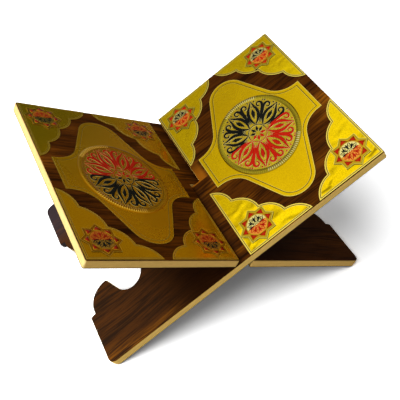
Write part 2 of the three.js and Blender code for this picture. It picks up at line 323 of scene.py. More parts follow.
def pressed_fibre_group(place_tree):
    """Cut fibreboard: fibres, clumps, a denser skin by each face, a paler end of painted light,
    painted shade on a foot.
    """
    n, given, out = new_group(
        "ShaderNodeTree", "Pressed fibre",
        [("Side", FLOAT, 1.0), ("Fibre", COLOUR, (0.76, 0.47, 0.12, 1)),
         ("Dense", COLOUR, (0.4, 0.22, 0.05, 1)), ("Sealed", COLOUR, (0.8, 0.62, 0.24, 1)),
         ("Sealed from", FLOAT, 1.0), ("Foot stain", FLOAT, 0.0)],
        [("Color", COLOUR), ("Roughness", FLOAT), ("Height", FLOAT)])
    place = nested(n, place_tree, Side=given["Side"])["Place"]
    parts = n.split(place)
    fuzz = n.noise(n.vector("MULTIPLY", place, (1, 1, 2.5)), 1100.0, 3.0, 0.65)
    clumps = n.noise(n.vector("MULTIPLY", place, (1, 1, 3)), 170.0)
    skin = n.band(n.maths("ABSOLUTE", parts["Z"]), CORE_TOP * 0.7, CORE_TOP, 0.0, 0.45)
    tone = n.maths("ADD", n.maths("MULTIPLY", fuzz, 0.5), n.maths("MULTIPLY", clumps, 0.4))
    amount = n.maths("ADD", n.maths("SUBTRACT", tone, 0.3), skin, clamp=True)
    # The board's outer end takes a paler colour: painted light
    end = n.maths("GREATER_THAN", parts["X"], given["Sealed from"])
    fibre_or_lit_end = n.blend(end, given["Fibre"], given["Sealed"])
    # Painted shade on the fibre at the back of a foot
    at_foot = n.maths("MULTIPLY", n.band(parts["X"], *SHADED_FIBRE_FOOT, 1.0, 0.0),
                      n.band(parts["Y"], *SHADED_FIBRE_BACK))
    foot_shade_amount = n.maths("MULTIPLY", at_foot, given["Foot stain"])
    pressed = n.blend(amount, fibre_or_lit_end, given["Dense"])
    n.put(out["Color"], n.blend(foot_shade_amount, pressed, SHADED_FIBRE_COLOUR))
    n.put(out["Roughness"], n.maths("ADD", 0.62, n.maths("MULTIPLY", fuzz, 0.25)))
    n.put(out["Height"], n.maths("MULTIPLY", fuzz, 0.08))
    return n.tree


def handling_group():
    """Finger marks and dust: a mask that dulls a polished face here and there."""
    n, given, out = new_group(
        "ShaderNodeTree", "Handling marks", [("Scale", FLOAT, 60.0), ("Amount", FLOAT, 0.2)],
        [("Mask", FLOAT)])
    here = n.add("ShaderNodeTexCoord").outputs["Object"]
    smears = n.noise(here, given["Scale"], 4.0, 0.62, 0.8)
    n.put(out["Mask"], n.maths("MULTIPLY", n.band(smears, 0.48, 0.72), given["Amount"]))
    return n.tree


PLACE = board_place_group()
GRAIN = wood_grain_group(PLACE)
FOIL = stamped_foil_group(PLACE)
FIBRE = pressed_fibre_group(PLACE)
HANDLING = handling_group()


# Materials, one set for each board because grain and print follow the board

MARK_SCALE = 70.0


def finish_of(name, tree, values, shader, marks):
    """A material whose Principled shader takes colour, roughness and relief from a group."""
    material = bpy.data.materials.new(name)
    material.use_nodes = True
    n = Nodes(material.node_tree)
    principled = n.tree.nodes["Principled BSDF"]
    made = nested(n, tree, **values)
    n.put(principled.inputs["Base Color"], made["Color"])
    mask = nested(n, HANDLING, Scale=MARK_SCALE, Amount=marks)["Mask"]
    rough = n.maths("ADD", made["Roughness"], mask, clamp=True)
    n.put(principled.inputs["Roughness"], rough)
    relief = n.feed(n.add("ShaderNodeBump"), Height=made["Height"], Distance=MM)
    n.put(principled.inputs["Normal"], relief)
    n.feed(principled, **shader)
    return material


def foil_values(foil, shade, grain, ripple=0.0, gloss=0.22):
    return {"Foil": (*foil, 1), "Shade": (*shade, 1), "Grain": grain, "Ripple": ripple,
            "Gloss": gloss}


def wood_values(dark, brown, warm, warm_share, **leg):
    return {"Dark": (*dark, 1), "Brown": (*brown, 1), "Warm": (*warm, 1),
            "Warm_share": warm_share, **leg}


METAL = {"Metallic": 1.0}
HALF_METAL = {"Metallic": 0.5}
BARE = {"Specular_IOR_Level": 0.15}
FILM = {"Specular_IOR_Level": 0.015}
INK = {"Specular_IOR_Level": 0.02}
LIT_END_DEPTH = 1.0 * MM
# Each finish: its pattern, the pattern's values, the shader's values, how marked it is
RECIPES = {
    # Its paler outer end is painted light
    "fibreboard edge": (FIBRE, {"Sealed_from": PANEL_END - LIT_END_DEPTH}, BARE, 0.0),
    # The left board's film; its Foot_shade darkens the leg from the foot on: painted shade
    "wood-grain film": (GRAIN, wood_values(
        (0.014, 0.0035, 0.0005), (0.07, 0.018, 0.001), (0.19, 0.055, 0.003), 0.2,
        Leg_shade=1.0, Foot_shade=0.45), FILM, 0.1),
    # The right board's film: painted light and shade by the crossing, and on its leg painted sheen
    # and a painted grey shade at the foot's back
    "neck film": (GRAIN, wood_values(
        (0.013, 0.0033, 0.0005), (0.062, 0.0165, 0.001), (0.24, 0.075, 0.003), 0.2,
        Leg_shade=1.0, Neck_glow=1.0, Leg_haze=1.0), FILM, 0.1),
    "dark back film": (GRAIN, wood_values(
        (0.012, 0.008, 0.007), (0.032, 0.02, 0.016), (0.045, 0.026, 0.016), 0.1),
        FILM, 0.1),
    "gold foil field": (FOIL, foil_values(
        (0.84, 0.55, 0.003), (0.56, 0.31, 0.001), 0.4, 0.15), METAL, 0.05),
    "rippled gold foil": (FOIL, foil_values(
        (0.94, 0.66, 0.003), (0.5, 0.28, 0.001), 0.4, 7.0, 0.16), METAL, 0.05),
    "bright foil bead": (FOIL, foil_values(
        (0.93, 0.74, 0.14), (0.8, 0.55, 0.05), 0.15), METAL, 0.0),
    "polished olive gold": (FOIL, foil_values(
        (0.42, 0.33, 0.02), (0.2, 0.14, 0.005), 0.15, 0.2, 0.15), METAL, 0.1),
    # A paler gold for arcs of the medallion's ridges: a painted highlight
    "painted rim highlight": (FOIL, foil_values(
        (0.95, 0.88, 0.5), (0.8, 0.68, 0.25), 0.2, 0.0, 0.12), METAL, 0.0),
    "medallion ground": (FOIL, foil_values(
        (0.8, 0.56, 0.03), (0.2, 0.14, 0.004), 0.4, 7.0, 0.13), METAL, 0.05),
    "dark foil line": (FOIL, foil_values(
        (0.06, 0.04, 0.003), (0.03, 0.02, 0.002), 0.3), INK, 0.0),
    "black ink": (FOIL, foil_values(
        (0.005, 0.005, 0.004), (0.01, 0.01, 0.008), 0.4), INK, 0.0),
    "red lacquer": (FOIL, foil_values(
        (0.44, 0.012, 0.003), (0.28, 0.005, 0.002), 0.4), INK, 0.0),
    "star red": (FOIL, foil_values(
        (0.4, 0.016, 0.003), (0.22, 0.006, 0.002), 0.6), INK, 0.0),
    "pale gold leaf": (FOIL, foil_values(
        (0.9, 0.78, 0.3), (0.6, 0.48, 0.1), 0.5, 0.5), METAL, 0.0),
    "sticker gold": (FOIL, foil_values(
        (0.62, 0.36, 0.015), (0.36, 0.18, 0.006), 0.3, 0.4), METAL, 0.0),
    "orange foil": (FOIL, foil_values(
        (0.7, 0.25, 0.015), (0.5, 0.13, 0.008), 0.6, 0.5), HALF_METAL, 0.0),
}

# What differs on one board: painted shade makes the left one's prints duller, and its foil lies
# flatter;
# painted light makes the right one's cut edges paler, and painted shade darkens its far foot
LIVELINESS = {"right": {"Ripple": 1.0, "Grain": 1.0}, "left": {"Ripple": 0.05, "Grain": 0.15}}
PAINTED_BOARD_LIGHT = {
    "right": {
        "fibreboard edge": {"Fibre": (0.92, 0.6, 0.145, 1), "Dense": (0.5, 0.29, 0.06, 1),
                            "Foot_stain": 1.0},
    },
    "left": {
        "dark foil line": foil_values((0.17, 0.095, 0.008), (0.1, 0.055, 0.004), 0.3),
        "red lacquer": foil_values((0.33, 0.012, 0.003), (0.2, 0.006, 0.002), 0.4),
        "star red": foil_values((0.22, 0.014, 0.003), (0.12, 0.006, 0.002), 0.6),
        "orange foil": foil_values((0.55, 0.17, 0.012), (0.36, 0.09, 0.006), 0.6),
        "pale gold leaf": foil_values((0.72, 0.54, 0.15), (0.4, 0.28, 0.05), 0.5),
        "painted rim highlight": foil_values((1.0, 0.66, 0.1), (0.8, 0.42, 0.05), 0.2),
        "polished olive gold": foil_values((0.46, 0.24, 0.008), (0.24, 0.12, 0.004), 0.15, 0.2),
    },
}


def board_finishes(board):
    """Every finish on one board; Side turns the patterns with the board."""
    side = {"Side": 1.0 if board == "right" else -1.0}
    made = {}
    for label, (tree, values, shader, marks) in RECIPES.items():
        values = {**side, **values, **PAINTED_BOARD_LIGHT[board].get(label, {})}
        for name, share in LIVELINESS[board].items():
            if name in values:
                values[name] *= share
        made[label] = finish_of(f"{board} {label}", tree, values, shader, marks)
    return made


FINISHES = {board: board_finishes(board) for board in BOARDS}


# Geometry node trees for what repeats or follows a path; turned copies stand an eighth of a
# turn apart, in degrees

EIGHTH = 45.0
OVAL_LINE_STEPS = 256
STROKE_SIDES = 8
RING_INPUTS = [("Geometry", SHAPE, None), ("Count", INTEGER, 8), ("First angle", FLOAT, 0.0),
               ("Step angle", FLOAT, EIGHTH)]
STRETCH = [("Stretch", VECTOR, (1, 1, 1))]
PLACE_AND_FINISH = [("Centre", VECTOR, (0, 0, 0)), ("Material", FINISH, None)]


def ring_group():
    """Copies of a shape, turned about the middle by equal steps."""
    n, given, out = new_group("GeometryNodeTree", "Turned copies", RING_INPUTS,
                              [("Geometry", SHAPE)])
    places = n.feed(n.add("GeometryNodePoints"), Count=given["Count"])
    index = n.add("GeometryNodeInputIndex").outputs[0]
    angle = n.maths("ADD", given["First angle"], n.maths("MULTIPLY", index, given["Step angle"]))
    turn = n.feed(n.add("FunctionNodeAxisAngleToRotation"), Axis=(0, 0, 1),
                  Angle=n.maths("RADIANS", angle))
    copies = n.feed(n.add("GeometryNodeInstanceOnPoints"), Points=places,
                    Instance=given["Geometry"], Rotation=turn)
    n.put(out["Geometry"], copies)
    return n.tree


def finish_tree(n, given, out, shape, stretch=(1, 1, 1)):
    """Stretches a shape, sets it in its place, realizes it and gives it its material."""
    placed = n.feed(n.add("GeometryNodeTransform"), Geometry=shape, Scale=stretch,
                    Translation=given["Centre"])
    solid = n.feed(n.add("GeometryNodeRealizeInstances"), Geometry=placed)
    n.put(out["Geometry"], n.feed(n.add("GeometryNodeSetMaterial"), Geometry=solid,
                                  Material=given["Material"]))


def turned_pieces_tree(ring):
    """One solid copied round a centre."""
    n, given, out = new_group(
        "GeometryNodeTree", "Turned pieces", RING_INPUTS + STRETCH + PLACE_AND_FINISH,
        [("Geometry", SHAPE)])
    copies = nested(n, ring, Geometry=given["Geometry"], Count=given["Count"],
                    First_angle=given["First angle"], Step_angle=given["Step angle"])
    finish_tree(n, given, out, copies["Geometry"], given["Stretch"])
    return n.tree


def tapered_strokes_tree(ring):
    """Strokes along curves, as wide as the curves' radius says, copied round a centre."""
    n, given, out = new_group(
        "GeometryNodeTree", "Tapered strokes",
        RING_INPUTS + STRETCH + PLACE_AND_FINISH + [("Widen", FLOAT, 0.0),
                                                    ("Flatness", FLOAT, 0.15)],
        [("Geometry", SHAPE)])
    section = n.feed(n.add("GeometryNodeCurvePrimitiveCircle"), Resolution=STROKE_SIDES,
                     Radius=1.0)
    flat = n.feed(n.add("ShaderNodeCombineXYZ"), X=1.0, Y=given["Flatness"], Z=1.0)
    lens = n.feed(n.add("GeometryNodeTransform"), Geometry=section, Scale=flat)
    upright = n.feed(n.add("GeometryNodeSetCurveNormal", mode="Z_UP"), Curve=given["Geometry"])
    radius = n.add("GeometryNodeInputRadius").outputs[0]
    stroke = n.feed(n.add("GeometryNodeCurveToMesh"), Curve=upright, Profile_Curve=lens,
                    Scale=n.maths("ADD", radius, given["Widen"]), Fill_Caps=True)
    copies = nested(n, ring, Geometry=stroke, Count=given["Count"],
                    First_angle=given["First angle"], Step_angle=given["Step angle"])
    finish_tree(n, given, out, copies["Geometry"], given["Stretch"])
    return n.tree


def oval_ridges_tree():
    """A ridge copied along an oval, each one square to the outline where it stands."""
    n, given, out = new_group(
        "GeometryNodeTree", "Ridges round an oval",
        [("Geometry", SHAPE, None), ("Count", INTEGER, 120), ("Half size", VECTOR, (1, 1, 0)),
         *PLACE_AND_FINISH],
        [("Geometry", SHAPE)])
    circle = n.feed(n.add("GeometryNodeCurvePrimitiveCircle"), Resolution=OVAL_LINE_STEPS,
                    Radius=1.0)
    oval_line = n.feed(n.add("GeometryNodeTransform"), Geometry=circle,
                       Scale=given["Half size"])
    places = n.feed(n.add("GeometryNodeCurveToPoints", mode="COUNT"), Curve=oval_line,
                    Count=given["Count"])
    here = n.add("GeometryNodeInputPosition").outputs[0]
    square = n.vector("MULTIPLY", given["Half size"], given["Half size"])
    outwards = n.vector("DIVIDE", here, square)
    turn = n.feed(n.add("FunctionNodeAlignRotationToVector", axis="X", pivot_axis="Z"),
                  Vector=outwards)
    ridges = n.feed(n.add("GeometryNodeInstanceOnPoints"), Points=places,
                    Instance=given["Geometry"], Rotation=turn)
    finish_tree(n, given, out, ridges)
    return n.tree


RING = ring_group()
PIECES = turned_pieces_tree(RING)
STROKES = tapered_strokes_tree(RING)
RIDGES = oval_ridges_tree()


def grown(source, tree, **values):
    """The plain mesh that a tree makes of a source object; the object stays for reuse."""
    modifier = source.modifiers.new(tree.name, "NODES")
    modifier.node_group = tree
    for item in tree.interface.items_tree:
        key = item.name.replace(" ", "_")
        if item.in_out == "INPUT" and key in values:
            modifier[item.identifier] = values[key]
    source.update_tag()
    evaluated = source.evaluated_get(bpy.context.evaluated_depsgraph_get())
    mesh = bpy.data.meshes.new_from_object(evaluated)
    source.modifiers.remove(modifier)
    return mesh


def linked(name, data):
    made = bpy.data.objects.new(name, data)
    bpy.context.scene.collection.objects.link(made)
    return made


def object_of(name, mesh):
    """An object with the shape of a bmesh, which is freed."""
    data = bpy.data.meshes.new(name)
    mesh.to_mesh(data)
    mesh.free()
    return linked(name, data)


def stroke_source(name, strokes):
    """A curve object; each stroke is a list of (x, y, half width) in millimetres."""
    curves = bpy.data.curves.new(name, "CURVE")
    curves.dimensions = "3D"
    curves.resolution_u = 5
    for stroke in strokes:
        spline = curves.splines.new("BEZIER")
        spline.bezier_points.add(len(stroke) - 1)
        for knot, (x, y, half_width) in zip(spline.bezier_points, stroke):
            knot.co = (x * MM, y * MM, 0)
            knot.radius = half_width * MM
            knot.handle_left_type = knot.handle_right_type = "AUTO"
    return linked(name, curves)


def knot_at(radius, angle, half_width):
    """A knot of a stroke, at an angle in degrees from the motif's own axis."""
    turn = math.radians(angle)
    return radius * math.cos(turn), radius * math.sin(turn), half_width


def both_sides(stroke):
    """A stroke and its mirror image across the motif's own axis."""
    return [stroke, [(x, -y, half_width) for x, y, half_width in stroke]]


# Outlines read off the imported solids, in the board's own place


def outline_of(node):
    """Points round the top face of a flat CAD piece, anticlockwise, along and across."""
    mesh = in_board_place(node)
    top = max(v.co.z for v in mesh.verts) - SAME_LEVEL
    faces = [f for f in mesh.faces if all(v.co.z > top for v in f.verts)]
    steps = {}
    for face in faces:
        for loop in face.loops:
            if sum(f in faces for f in loop.edge.link_faces) == 1:
                steps[loop.vert] = loop.link_loop_next.vert
    start = vert = next(iter(steps))
    points = []
    while not points or vert is not start:
        points.append(vert.co.to_2d())
        vert = steps[vert]
    mesh.free()
    return [p for i, p in enumerate(points) if turns_at(points, i)]


def turns_at(points, i):
    before, after = points[i] - points[i - 1], points[(i + 1) % len(points)] - points[i]
    return abs(before.angle_signed(after)) > STRAIGHT


def crossing(a, b):
    """Where two lines meet, each a point and a direction."""
    (p, along), (q, other) = a, b
    share = (q - p).cross(other) / along.cross(other)
    return p + along * share


def inset(points, distance):
    """The outline drawn in by one distance; where an edge shrinks away its ends fall together."""
    lines = []
    for i, p in enumerate(points):
        along = (points[(i + 1) % len(points)] - p).normalized()
        lines.append((p + along.orthogonal() * distance, along))
    kept = list(range(len(points)))
    while True:
        starts = {k: crossing(lines[kept[i - 1]], lines[k]) for i, k in enumerate(kept)}
        ends = {kept[i - 1]: starts[k] for i, k in enumerate(kept)}
        shrunk = [k for k in kept if (ends[k] - starts[k]).dot(lines[k][1]) <= 0]
        if not shrunk:
            break
        kept.remove(max(shrunk, key=lambda k: (starts[k] - ends[k]).dot(lines[k][1])))
    later = kept + [kept[0]]
    return [starts[next((k for k in later if k >= i), kept[0])] for i in range(len(points))]


# Solids in a board's own place


class Solid:
    """A mesh in a board's place whose faces carry the finishes by name."""

    def __init__(self, board, mesh=None):
        self.board = board
        self.mesh = mesh or bmesh.new()
        self.finishes = []

    def slot(self, finish):
        if finish not in self.finishes:
            self.finishes.append(finish)
        return self.finishes.index(finish)

    def face(self, verts, finish, smooth=False):
        made = self.mesh.faces.new(verts)
        made.material_index = self.slot(finish)
        made.smooth = smooth

    def ring(self, points, height):
        return [self.mesh.verts.new((*p[:2], height)) for p in points]

    def bridge(self, outer, inner, finish, smooth):
        for i in range(len(outer)):
            j = (i + 1) % len(outer)
            self.face((outer[i], outer[j], inner[j], inner[i]), finish, smooth)

    def raise_plate(self, rings, base, cap_finish, rounded=False):
        """A closed plate: (points, height, finish) rings from the outline to a flat cap."""
        ring = self.ring(rings[0][0], base)
        self.face(ring[::-1], rings[0][2])
        for i, (points, height, finish) in enumerate(rings):
            higher = self.ring(points, height)
            self.bridge(ring, higher, finish, smooth=rounded and i > 0)
            ring = higher
        self.face(ring, cap_finish)

    def grow(self, source, tree, finish, **values):
        """Adds what a tree makes of a source, in one finish, and returns the new faces."""
        mesh = grown(source, tree, Material=FINISHES[self.board][finish], **values)
        first = len(self.mesh.faces)
        self.mesh.from_mesh(mesh)
        bpy.data.meshes.remove(mesh)
        self.mesh.faces.ensure_lookup_table()
        added = self.mesh.faces[first:]
        for face in added:
            face.material_index = self.slot(finish)
            face.smooth = True
        return added

    def settle(self, name, node):
        """Makes the finished piece, which rides on its board in place of a CAD node."""
        bmesh.ops.dissolve_degenerate(self.mesh, edges=self.mesh.edges, dist=NO_EDGE)
        self.mesh.transform(BOARDS[self.board])
        piece = object_of(name, self.mesh)
        for finish in self.finishes:
            piece.data.materials.append(FINISHES[self.board][finish])
        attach(piece, f"{self.board}_board_set")
        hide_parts(node)


def stepped(outline, steps):
    """Rings for raise_plate from (inset in mm, height, finish)."""
    return [(inset(outline, draw * MM) if draw else outline, height, finish)
            for draw, height, finish in steps]


def film_piece(board, face):
    """The film itself, drawn down to the fibreboard that it is glued to."""
    node = f"{board}_{face}_film"
    sign, finish, slot = -1, "dark back film", "back_film"
    if face == "face":
        sign, slot = 1, "wood_grain_film"
        finish = "neck film" if board == "right" else "wood-grain film"
    solid = Solid(board, in_board_place(node))
    for vert in solid.mesh.verts:
        if sign * vert.co.z < FILM_MIDDLE:
            vert.co.z = sign * CORE_TOP
    for part in solid.mesh.faces:
        part.material_index = solid.slot(finish)
    solid.settle(f"{node}_glued", node)


def stamped_foil(board, node, steps, field):
    """A foil on the film, stamped in steps from its outline to its field."""
    solid = Solid(board)
    solid.raise_plate(stepped(outline_of(node), steps), FILM_TOP, field)
    solid.settle(f"{node}_stamped", node)


def corner_foil(board, end, side):
    """Corner foil: a bright bead, a dark line and a finer bead all round, rippled field."""
    bead, line, field = "bright foil bead", "dark foil line", "rippled gold foil"
    edge, groove = (height - 0.04 * MM for height in (FOIL_TOP, FOIL_FIELD))
    fine_bead = FOIL_FIELD + 0.02 * MM
    steps = [(0, edge, line), (0.25, FOIL_TOP, bead), (0.85, FOIL_TOP, bead), (1.1, edge, bead),
             (1.15, groove, line), (1.7, groove, line), (1.75, fine_bead, line),
             (2.25, fine_bead, bead), (2.4, FOIL_FIELD, field)]
    stamped_foil(board, quarter_name(board, end, side) + "_foil", steps, field)


def centre_foil(board):
    """Centre foil: bright edge, plain band, one dark line, then the grained field."""
    bead, line, field = "bright foil bead", "dark foil line", "gold foil field"
    edge, rim = FOIL_TOP - 0.05 * MM, FOIL_TOP - 0.02 * MM
    band, groove, fine_bead = (FOIL_FIELD + rise * MM for rise in (0.05, -0.03, 0.01))
    steps = [(0, edge, line), (0.2, rim, bead), (0.55, rim, bead), (0.75, band, field),
             (3.3, band, field), (3.35, groove, line), (3.95, groove, line),
             (4.0, fine_bead, line), (4.3, fine_bead, bead), (4.35, FOIL_FIELD, field)]
    stamped_foil(board, f"{board}_centre_foil", steps, field)


# Medallion: oval rim with fine ridges round a field with a generic rosette, in millimetres

RIM_WIDTH = 5.0
RIM_HEIGHT = 0.9
RIM_FOOT = 5.1
RIM_FULLNESS = 0.8
RIM_STEPS = 10
FIELD_DRAW = 0.3
OVAL_STEPS = 160
RIDGE_COUNT = 132
RIDGE_HALF_WIDTH = 0.55
RIDGE_RISE = 0.2
RIDGE_ROOT = -0.05
# Arcs of the ridges that take a painted highlight, in degrees round the medallion
PAINTED_HIGHLIGHT_ARCS = {"right": ((62, 112), (-108, -45)), "left": ((35, 95), (-90, -35))}


def rim_profile():
    """(inset, height) in millimetres across the rounded rim, from its outline inwards."""
    for i in range(RIM_STEPS + 1):
        share = i / RIM_STEPS
        swell = math.sin(math.pi * share) ** RIM_FULLNESS
        foot = RIM_FOOT + (MEDALLION_FIELD / MM - RIM_FOOT) * share
        yield RIM_WIDTH * share, foot + (RIM_FOOT + RIM_HEIGHT - foot) * swell


def oval(middle, half, draw):
    """Points round an oval that is drawn in from its half size."""
    long, wide = half.x - draw, half.y - draw
    return [(middle.x + long * math.cos(math.tau * i / OVAL_STEPS),
             middle.y + wide * math.sin(math.tau * i / OVAL_STEPS)) for i in range(OVAL_STEPS)]


def rim_ridge():
    """One thin ridge that lies over the rim's profile, pointing outwards along X."""
    mesh = bmesh.new()
    sides = ((-RIDGE_HALF_WIDTH, RIDGE_ROOT), (0, RIDGE_RISE), (RIDGE_HALF_WIDTH, RIDGE_ROOT))
    rows = [[mesh.verts.new((-draw * MM, y * MM, (height + rise) * MM)) for y, rise in sides]
            for draw, height in list(rim_profile())[1:-1]]
    for a, b in zip(rows, rows[1:]):
        for i in range(3):
            j = (i + 1) % 3
            mesh.faces.new((a[i], a[j], b[j], b[i]))
    mesh.faces.new(rows[0][::-1])
    mesh.faces.new(rows[-1])
    bmesh.ops.recalc_face_normals(mesh, faces=mesh.faces)
    return object_of("rim_ridge", mesh)


# Strokes of the rosette in knots of (along its axis, aside, half width), drawn on a radius of
# ART_RADIUS and stretched to the medallion's oval field
ART_RADIUS = 40.0
PETAL = [(11, 0.4, 0.5), (15, 3.2, 1.2), (21, 5.3, 1.75), (27, 5.0, 1.65), (32.6, 2.5, 1.1),
         (39.0, 0.1, 0.25)]
SCROLL = [(12.6, 4.4, 0.4), (18.4, 7.0, 0.8), (24.5, 9.5, 1.5), (30.8, 11.6, 1.6),
          (35.2, 10.2, 1.1), (35.0, 6.9, 0.85), (31.6, 6.4, 0.7), (30.6, 8.6, 0.6)]
DROP = [(17.0, 0, 0.2), (21.0, 0, 1.6), (25.0, 0, 2.0), (29.2, 0, 0.2)]
TIP_BEAD = [(31.0, 0, 0.1), (32.0, 0, 0.7), (33.0, 0, 0.1)]
RIM_DIAMOND = [(36.8, 3.6, 0.15), (37.8, 3.8, 0.9), (38.8, 4.0, 0.15)]
EDGE_DIAMOND = [(35.6, 13.4, 0.15), (36.5, 13.8, 0.85), (37.4, 14.1, 0.15)]
HEART_PETAL = [(2.2, 0, 0.2), (5.2, 0, 1.6), (8.6, 0, 0.15)]
HEART_ARC = [knot_at(10.0, angle, 0.4) for angle in (-22.5, -7.5, 7.5, 22.5)]
# Each half of a rosette has its ink and the angle of its first eighth
ROSETTE_HALVES = (("black ink", EIGHTH / 2), ("red lacquer", 180 + EIGHTH / 2))
LEAF_EDGE = {"Widen": 0.35 * MM, "Flatness": 0.08}
INK_STROKE = {"Widen": 0.0, "Flatness": 0.14}
INK_RISE = 0.06


def rosette_strokes():
    """One eighth of the rosette, on its axis."""
    paired = [PETAL, SCROLL, RIM_DIAMOND, EDGE_DIAMOND]
    return [s for stroke in paired for s in both_sides(stroke)] + [
        DROP, TIP_BEAD, HEART_PETAL, HEART_ARC]


ROSETTE = stroke_source("rosette_eighth", rosette_strokes())
RIDGE = rim_ridge()


def medallion(board):
    """Medallion: ridged rim, rippled ground, and a rosette of ink on leaf edges."""
    node = f"{board}_medallion"
    middle, half = extent_of(node)
    ground = "medallion ground"
    solid = Solid(board)
    rings = [(oval(middle, half, draw * MM), height * MM, "polished olive gold")
             for draw, height in rim_profile()]
    field_half = half - Vector((RIM_WIDTH, RIM_WIDTH)) * MM
    rings.append((oval(middle, field_half, FIELD_DRAW * MM), MEDALLION_FIELD, ground))
    solid.raise_plate(rings, RIM_SEAT, ground, rounded=True)
    ridges = solid.grow(RIDGE, RIDGES, "polished olive gold", Count=RIDGE_COUNT,
                        Half_size=(half.x, half.y, 1.0), Centre=(middle.x, middle.y, 0.0))
    # These arcs of ridges take a paler gold, a painted highlight
    for face in ridges:
        way = face.calc_center_median().to_2d() - middle
        turn = math.degrees(math.atan2(way.y, way.x))
        if any(low < turn < high for low, high in PAINTED_HIGHLIGHT_ARCS[board]):
            face.material_index = solid.slot("painted rim highlight")
    stretch = (field_half.x / (ART_RADIUS * MM), field_half.y / (ART_RADIUS * MM), 1.0)
    for ink, first in ROSETTE_HALVES:
        for finish, rise, form in (("pale gold leaf", 0.0, LEAF_EDGE), (ink, INK_RISE, INK_STROKE)):
            place = (middle.x, middle.y, MEDALLION_FIELD + rise * MM)
            solid.grow(ROSETTE, STROKES, finish, Count=4, First_angle=first, Stretch=stretch,
                       Centre=place, **form)
    solid.settle(f"{node}_embossed", node)


# Star stickers: eight red triangles round a disc with a small rosette, in millimetres

TRIANGLE_TIP = 15.0
TRIANGLE_BASE = 10.9
TRIANGLE_HALF = 3.5
TRIANGLE_RISE = 0.1
EDGE_WIDTH = 0.42
EDGE_RISE = 0.06
# How far a triangle's tip and its base move out for each millimetre of edge
TIP_SPREAD = 1.6
BASE_SPREAD = 0.7
DISC_RADIUS = 9.8
DISC_STEPS = 20
OCTAGON_REACH = 10.35
OCTAGON_HALF_SIDE = OCTAGON_REACH * math.tan(math.pi / 8)
LEAF = [(2.4, 0.3, 0.3), (4.6, 1.5, 0.55), (6.8, 1.3, 0.5), (9.4, 0.1, 0.2)]
LEAF_EYE = [(4.4, 0, 0.1), (5.7, 0, 0.5), (7.0, 0, 0.1)]
BETWEEN = [knot_at(5.6, 22.5, 0.15), knot_at(7.0, 22.5, 0.8), knot_at(8.8, 22.5, 0.12)]
HUB = [knot_at(1.3, angle, 0.3) for angle in (-22.5, 0, 22.5)]
OCTAGON_SIDE = [(OCTAGON_REACH, -OCTAGON_HALF_SIDE, 0.2), (OCTAGON_REACH, OCTAGON_HALF_SIDE, 0.2)]
SMALL_ROSETTE = stroke_source("small_rosette_eighth", [*both_sides(LEAF), LEAF_EYE, BETWEEN, HUB])
SMALL_OCTAGON = stroke_source("octagon_side", [OCTAGON_SIDE])
SMALL_HALVES = (("black ink", EIGHTH / 2), ("star red", 180 + EIGHTH / 2))
SMALL_FLATNESS = 0.3


def tip_triangle(name, wider, rise):
    """A low three-sided lozenge that points outwards along X, for one tip of a star."""
    mesh = bmesh.new()
    tip, base = TRIANGLE_TIP + TIP_SPREAD * wider, TRIANGLE_BASE - BASE_SPREAD * wider
    half = TRIANGLE_HALF + wider
    corners = [(tip, 0), (base, half), (base, -half)]
    mesh.faces.new([mesh.verts.new((x * MM, y * MM, 0)) for x, y in corners])
    lifted = bmesh.ops.extrude_face_region(mesh, geom=mesh.faces[:])
    for vert in (g for g in lifted["geom"] if isinstance(g, bmesh.types.BMVert)):
        vert.co.z = rise * MM
    bmesh.ops.recalc_face_normals(mesh, faces=mesh.faces)
    return object_of(name, mesh)


TRIANGLE = tip_triangle("star_triangle", 0.0, TRIANGLE_RISE)
TRIANGLE_EDGE = tip_triangle("star_triangle_edge", EDGE_WIDTH, EDGE_RISE)


def half_disc(solid, middle, start, finish):
    """Half of the sticker's round seat, from start over a half turn."""
    points = [(middle.x + DISC_RADIUS * MM * math.cos(start + math.pi * i / DISC_STEPS),
               middle.y + DISC_RADIUS * MM * math.sin(start + math.pi * i / DISC_STEPS))
              for i in range(DISC_STEPS + 1)]
    solid.raise_plate([(points, DISC_TOP, finish)], DISC_BASE, finish)


def star(board, end, side):
    """Star sticker: beaded edge, eight triangles, a disc in two halves and its rosette."""
    node = quarter_name(board, end, side) + "_star"
    middle, _ = extent_of(node)
    line, bead = "dark foil line", "bright foil bead"
    band, field = "polished olive gold", "sticker gold"
    solid = Solid(board)
    steps = [(0, STAR_TOP - 0.02 * MM, line), (0.12, STAR_TOP, bead), (0.4, STAR_TOP, bead),
             (0.6, STAR_FIELD, band), (1.5, STAR_FIELD, band), (1.6, STAR_FIELD, field)]
    solid.raise_plate(stepped(outline_of(node), steps), FOIL_FIELD, field)
    half_disc(solid, middle, 0.0, "pale gold leaf")
    half_disc(solid, middle, math.pi, "orange foil")
    for source, finish in ((TRIANGLE_EDGE, field), (TRIANGLE, "star red")):
        solid.grow(source, PIECES, finish, Count=8, Centre=(middle.x, middle.y, STAR_FIELD))
    common = {"Centre": (middle.x, middle.y, DISC_TOP), "Flatness": SMALL_FLATNESS}
    solid.grow(SMALL_OCTAGON, STROKES, field, Count=8, **common)
    for ink, first in SMALL_HALVES:
        solid.grow(SMALL_ROSETTE, STROKES, ink, Count=4, First_angle=first, **common)
    solid.settle(f"{node}_sticker", node)


for board in BOARDS:
    core = frame["nodes"][f"{board}_board"].data
    core.materials.clear()
    core.materials.append(FINISHES[board]["fibreboard edge"])
    film_piece(board, "face")
    film_piece(board, "back")
    centre_foil(board)
    medallion(board)
    for end, side in QUARTERS:
        corner_foil(board, end, side)
        star(board, end, side)
for source in (ROSETTE, RIDGE, SMALL_ROSETTE, SMALL_OCTAGON, TRIANGLE, TRIANGLE_EDGE):
    bpy.data.objects.remove(source)


# Floor, cards, light and camera

FLOOR_HALF = 6.0
# Where the floor shown to the camera grows whiter, out from the stand
WHITER_FLOOR = (0.6, 1.6)


def grey(level):
    return (level, level, level, 1)


